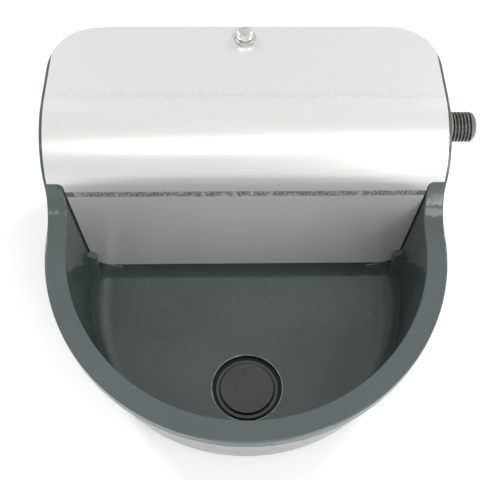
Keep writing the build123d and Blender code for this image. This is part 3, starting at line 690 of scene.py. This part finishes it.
def drain_plug_piece(material):
    """Drain plug: a raised middle disc, a groove and a lower ring on a hollow stem."""
    top = plug_high[2]
    seat = top - plug_cap_thickness
    ring = top - plug_ring_drop
    bottom = top - plug_groove_depth
    section = [
        (0.0, top), (plug_disc_radius, top), (plug_disc_radius, bottom),
        (plug_groove_radius, bottom), (plug_groove_radius, ring), (plug_cap_radius, ring),
        (plug_cap_radius, seat), (plug_stem[1], seat), (plug_stem[1], plug_low[2]),
        (plug_stem[0], plug_low[2]), (plug_stem[0], seat), (0.0, seat),
    ]
    shape = bmesh.new()
    turned(shape, rounded(section, plug_edge), plug_axis)
    return piece("drain_plug_turned", shape, material, "plug", "drain_plug")


def drain_mouth_bead(material):
    """Enamel that has gathered on the edge of the drain's recess."""
    shape = bmesh.new()
    angles = [math.tau * step / bead_steps for step in range(bead_steps)]
    section = [
        (drain_mouth_radius + bead_inset + bead_radius * math.cos(angle),
         floor_z - bead_inset + bead_radius * math.sin(angle))
        for angle in angles
    ]
    turned(shape, section, plug_axis, bead_sides)
    return piece("drain_mouth_bead", shape, material, "bowl")


# ---------------------------------------------------------------- stage
def soft_light(name, place, size, power):
    """Soft box of this width and height that looks at the bowl."""
    lamp = bpy.data.lights.new(name, "AREA")
    lamp.shape = "RECTANGLE"
    lamp.size, lamp.size_y = size
    lamp.energy = power
    box = bpy.data.objects.new(name, lamp)
    bpy.context.scene.collection.objects.link(box)
    box.location = place
    box.rotation_euler = (Vector(light_target) - Vector(place)).to_track_quat("-Z", "Y").to_euler()


def seen_ray(tree):
    """1 for what is seen straight, in gloss or through glass, and 0 for what only lights the bowl."""
    path = tree.nodes.new("ShaderNodeLightPath")
    either = path.outputs["Is Camera Ray"]
    for kind in ("Is Glossy Ray", "Is Transmission Ray"):
        step = tree.nodes.new("ShaderNodeMath")
        step.operation = "MAXIMUM"
        tree.links.new(either, step.inputs[0])
        tree.links.new(path.outputs[kind], step.inputs[1])
        either = step.outputs[0]
    return either


def studio():
    """White sweep, a pale floor and the soft boxes."""
    world = bpy.data.worlds.new("studio")
    bpy.context.scene.world = world
    world.use_nodes = True
    tree = world.node_tree
    background = tree.nodes["Background"]
    direction = tree.nodes.new("ShaderNodeTexCoord").outputs["Generated"]
    parts = tree.nodes.new("ShaderNodeSeparateXYZ")
    tree.links.new(direction, parts.inputs[0])
    sweep = tree.nodes.new("ShaderNodeValToRGB")
    tree.links.new(parts.outputs["Z"], sweep.inputs["Fac"])
    for stop, (height, level) in zip(sweep.color_ramp.elements, sweep_levels):
        stop.position = height
        stop.color = (level, level, level, 1.0)
    mix = tree.nodes.new("ShaderNodeMix")
    mix.data_type = "RGBA"
    mix.inputs[7].default_value = (1.0, 1.0, 1.0, 1.0)
    tree.links.new(sweep.outputs["Color"], mix.inputs[6])
    tree.links.new(seen_ray(tree), mix.inputs[0])
    tree.links.new(mix.outputs[2], background.inputs["Color"])

    floor_mesh = bpy.data.meshes.new("floor")
    sides = ((-1, -1), (1, -1), (1, 1), (-1, 1))
    corners = [(x * floor_reach, y * floor_reach, cad_box[0][2]) for x, y in sides]
    floor_mesh.from_pydata(corners, [], [(0, 1, 2, 3)])
    floor = bpy.data.objects.new("floor", floor_mesh)
    bpy.context.scene.collection.objects.link(floor)
    material = bpy.data.materials.new("floor_white")
    material.use_nodes = True
    tree = material.node_tree
    shader = tree.nodes["Principled BSDF"]
    shader.inputs["Roughness"].default_value = 0.9
    shader.inputs["Specular IOR Level"].default_value = 0.0
    shader.inputs["Emission Color"].default_value = (1.0, 1.0, 1.0, 1.0)
    place = tree.nodes.new("ShaderNodeTexCoord").outputs["Object"]
    paper = tree.nodes.new("ShaderNodeTexNoise")
    paper.inputs["Scale"].default_value = 3.0
    tree.links.new(place, paper.inputs["Vector"])
    shade = tree.nodes.new("ShaderNodeValToRGB")
    tree.links.new(paper.outputs["Fac"], shade.inputs["Fac"])
    for stop, level in zip(shade.color_ramp.elements, floor_levels):
        stop.color = (level, level, level, 1.0)
    tree.links.new(shade.outputs["Color"], shader.inputs["Base Color"])
    # The floor glows more where it runs out of the lamps' light
    reach_out = tree.nodes.new("ShaderNodeVectorMath")
    reach_out.operation = "LENGTH"
    tree.links.new(place, reach_out.inputs[0])
    rising = tree.nodes.new("ShaderNodeMapRange")
    rising.interpolation_type = "SMOOTHSTEP"
    tree.links.new(reach_out.outputs["Value"], rising.inputs[0])
    for index, value in enumerate(floor_glow_reach + floor_glow, start=1):
        rising.inputs[index].default_value = value
    glow = tree.nodes.new("ShaderNodeMath")
    glow.operation = "MULTIPLY"
    tree.links.new(rising.outputs[0], glow.inputs[1])
    tree.links.new(seen_ray(tree), glow.inputs[0])
    tree.links.new(glow.outputs[0], shader.inputs["Emission Strength"])
    floor_mesh.materials.append(material)

    for name, place, size, power in soft_boxes:
        soft_light(name, place, size, power)


def camera():
    """The fitted view: forward, right and up from pitch, yaw and roll."""
    forward = Vector((
        math.sin(camera_yaw) * math.cos(camera_pitch),
        math.cos(camera_yaw) * math.cos(camera_pitch),
        -math.sin(camera_pitch),
    ))
    level = Vector((math.cos(camera_yaw), -math.sin(camera_yaw), 0.0))
    raised = level.cross(forward)
    right = math.cos(camera_roll) * level + math.sin(camera_roll) * raised
    up = -math.sin(camera_roll) * level + math.cos(camera_roll) * raised
    data = bpy.data.cameras.new("camera")
    data.lens = camera_lens
    data.sensor_width = sensor_width
    data.clip_start = 0.01
    made = bpy.data.objects.new("camera", data)
    bpy.context.scene.collection.objects.link(made)
    turn = Matrix((right, up, -forward)).transposed()
    made.matrix_world = Matrix.Translation(camera_place) @ turn.to_4x4()
    bpy.context.scene.camera = made


thread = thread_tree()
cover_bolt_piece(thread, finishes["cover_bolt"])
inlet_piece(thread, finishes["valve_body"])
gasket_piece(finishes["outer_gasket"])
drain_plug_piece(finishes["drain_plug"])
drain_mouth_bead(bead_highlight_enamel())
studio()
camera()
bpy.context.scene.view_settings.view_transform = "Standard"
